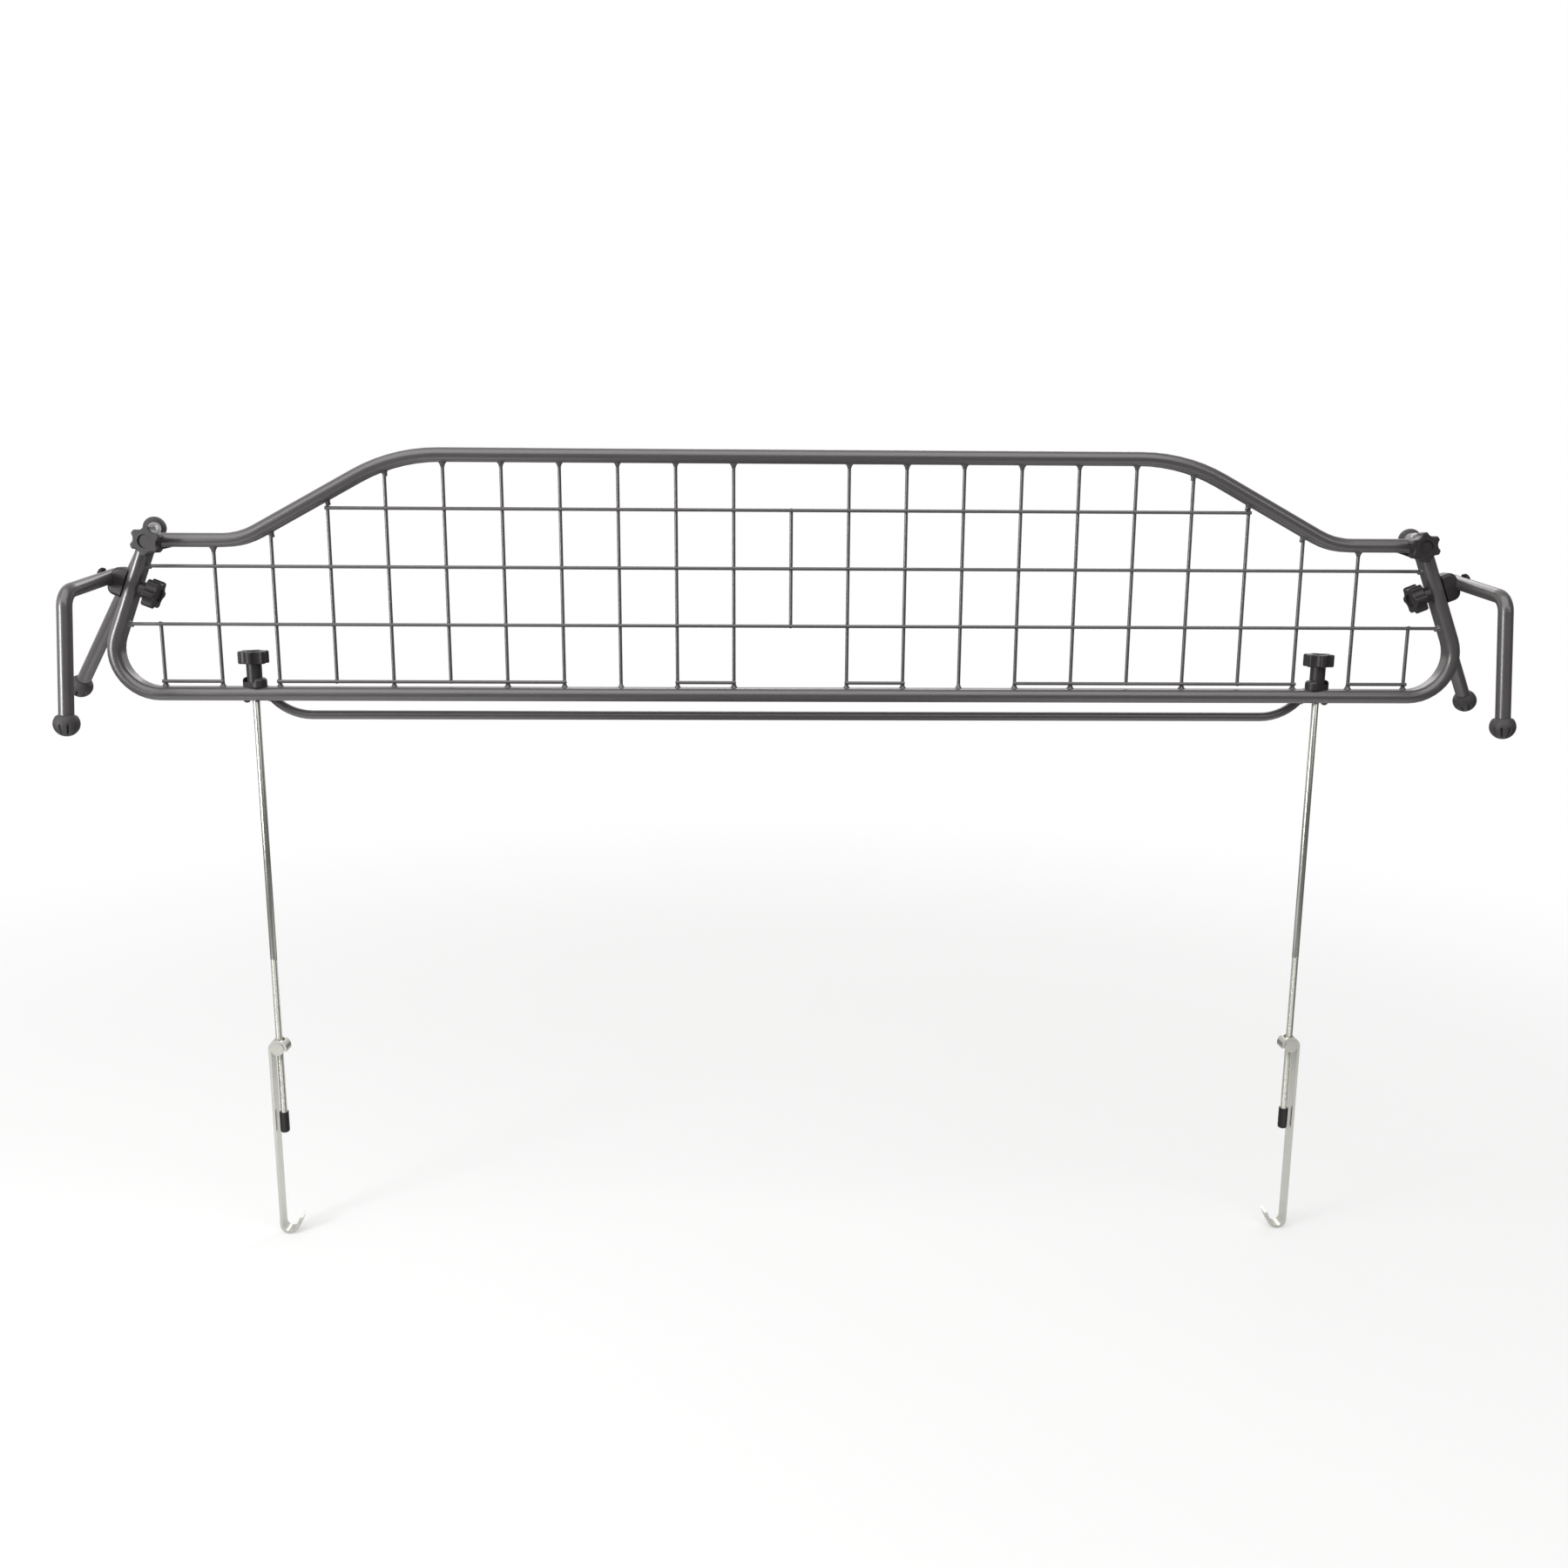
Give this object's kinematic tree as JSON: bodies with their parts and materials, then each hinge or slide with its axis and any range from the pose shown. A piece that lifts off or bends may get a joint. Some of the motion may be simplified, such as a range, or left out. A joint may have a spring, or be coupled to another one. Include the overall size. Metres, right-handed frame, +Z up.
{
  "type": "car dog guard",
  "caption": "Welded wire grille in a bent oval-tube frame with swinging padded side arms, star-knob clamps and threaded hook rods that draw it down on a seat back",
  "frame": {"origin": "middle of the bottom rail of the frame, on the tube's centreline", "axes": "+X to the right seen from the front, +Y to the rear (the side of the lower bar and the V-shaped arms), +Z up"},
  "size_m": [1.3117, 0.2146, 0.7263],
  "materials": {
    "powder_coat": "charcoal grey semi-gloss powder coat on steel",
    "black_plastic": "black moulded nylon, satin",
    "black_rubber": "black soft rubber",
    "zinc": "bright zinc plated steel",
    "black_vinyl": "black dipped vinyl",
    "blackened_bolt": "black coated steel bolt"
  },
  "bodies": {
    "guard": {"frame_tube": "powder_coat", "mesh_horizontal_wires": "powder_coat", "mesh_vertical_wires": "powder_coat", "lower_rear_bar": "powder_coat", "rail_drain_plugs": "black_plastic", "right_corner_bolt": "blackened_bolt", "right_corner_saddle": "black_plastic", "right_side_bolt": "blackened_bolt", "right_rod_saddle": "black_plastic", "left_corner_bolt": "blackened_bolt", "left_corner_saddle": "black_plastic", "left_side_bolt": "blackened_bolt", "left_rod_saddle": "black_plastic"},
    "right_corner_star_knob": {"right_corner_star_knob": "black_plastic"},
    "right_rear_arm": {"right_rear_arm_tube": "powder_coat", "right_rear_arm_lug": "powder_coat", "right_rear_arm_upper_foot": "black_rubber", "right_rear_arm_lower_foot": "black_rubber"},
    "right_side_knob": {"right_side_knob": "black_plastic"},
    "right_front_arm": {"right_front_arm_tube": "powder_coat", "right_front_arm_foot": "black_rubber", "right_side_saddle": "black_plastic"},
    "right_rod_knob": {"right_rod_knob": "black_plastic"},
    "right_hook_rod": {"right_hook_rod": "zinc", "right_rod_end_cap": "black_vinyl"},
    "right_barrel_nut": {"right_barrel_nut": "zinc"},
    "right_hook": {"right_hook_strip": "zinc"},
    "left_corner_star_knob": {"left_corner_star_knob": "black_plastic"},
    "left_rear_arm": {"left_rear_arm_tube": "powder_coat", "left_rear_arm_lug": "powder_coat", "left_rear_arm_upper_foot": "black_rubber", "left_rear_arm_lower_foot": "black_rubber"},
    "left_side_knob": {"left_side_knob": "black_plastic"},
    "left_front_arm": {"left_front_arm_tube": "powder_coat", "left_front_arm_foot": "black_rubber", "left_side_saddle": "black_plastic"},
    "left_rod_knob": {"left_rod_knob": "black_plastic"},
    "left_hook_rod": {"left_hook_rod": "zinc", "left_rod_end_cap": "black_vinyl"},
    "left_barrel_nut": {"left_barrel_nut": "zinc"},
    "left_hook": {"left_hook_strip": "zinc"}
  },
  "joints": [
    {"name": "right_corner_knob_turn", "type": "hinge", "parent": "guard", "child": "right_corner_star_knob", "pos_m": [0.5465, 0, 0.1322], "axis": [0, -1, 0], "continuous": true},
    {"name": "right_rear_arm_swing", "type": "hinge", "parent": "guard", "child": "right_rear_arm", "pos_m": [0.5465, 0, 0.1322], "axis": [0, 1, 0], "continuous": true},
    {"name": "right_side_knob_turn", "type": "hinge", "parent": "guard", "child": "right_side_knob", "pos_m": [0.57021, 0, 0.0932], "axis": [-0.9302, 0, -0.3672], "continuous": true},
    {"name": "right_front_arm_swing", "type": "hinge", "parent": "guard", "child": "right_front_arm", "pos_m": [0.57021, 0, 0.0932], "axis": [-0.9302, 0, -0.3672], "range_deg": [-17, 82]},
    {"name": "right_rod_knob_turn", "type": "hinge", "parent": "guard", "child": "right_rod_knob", "pos_m": [0.4715, 0, 0], "axis": [0, 0, 1], "range_deg": [-3250, 2170]},
    {"name": "right_hook_rod_lift", "type": "slide", "parent": "guard", "child": "right_hook_rod", "axis": [0, 0, 1], "range_m": [-0.006, 0.009]},
    {"name": "right_barrel_nut_travel", "type": "slide", "parent": "right_hook_rod", "child": "right_barrel_nut", "axis": [0, 0, 1], "range_m": [-0.05, 0.075]},
    {"name": "right_hook_swing", "type": "hinge", "parent": "right_barrel_nut", "child": "right_hook", "pos_m": [0.4715, 0, -0.3298], "axis": [0, -1, 0], "range_deg": [0, 25]},
    {"name": "left_corner_knob_turn", "type": "hinge", "parent": "guard", "child": "left_corner_star_knob", "pos_m": [-0.5465, 0, 0.1322], "axis": [0, -1, 0], "continuous": true},
    {"name": "left_rear_arm_swing", "type": "hinge", "parent": "guard", "child": "left_rear_arm", "pos_m": [-0.5465, 0, 0.1322], "axis": [0, 1, 0], "continuous": true},
    {"name": "left_side_knob_turn", "type": "hinge", "parent": "guard", "child": "left_side_knob", "pos_m": [-0.57021, 0, 0.0932], "axis": [0.9302, 0, -0.3672], "continuous": true},
    {"name": "left_front_arm_swing", "type": "hinge", "parent": "guard", "child": "left_front_arm", "pos_m": [-0.57021, 0, 0.0932], "axis": [-0.9302, 0, 0.3672], "range_deg": [-17, 82]},
    {"name": "left_rod_knob_turn", "type": "hinge", "parent": "guard", "child": "left_rod_knob", "pos_m": [-0.4715, 0, 0], "axis": [0, 0, 1], "range_deg": [-3250, 2170]},
    {"name": "left_hook_rod_lift", "type": "slide", "parent": "guard", "child": "left_hook_rod", "axis": [0, 0, 1], "range_m": [-0.006, 0.009]},
    {"name": "left_barrel_nut_travel", "type": "slide", "parent": "left_hook_rod", "child": "left_barrel_nut", "axis": [0, 0, 1], "range_m": [-0.05, 0.075]},
    {"name": "left_hook_swing", "type": "hinge", "parent": "left_barrel_nut", "child": "left_hook", "pos_m": [-0.4715, 0, -0.3298], "axis": [0, 1, 0], "range_deg": [0, 25]}
  ],
  "couplings": [
    {"joint": "right_rod_knob_turn", "follows": "right_hook_rod_lift", "rad_per_m": -6283.2},
    {"joint": "left_rod_knob_turn", "follows": "left_hook_rod_lift", "rad_per_m": -6283.2}
  ]
}
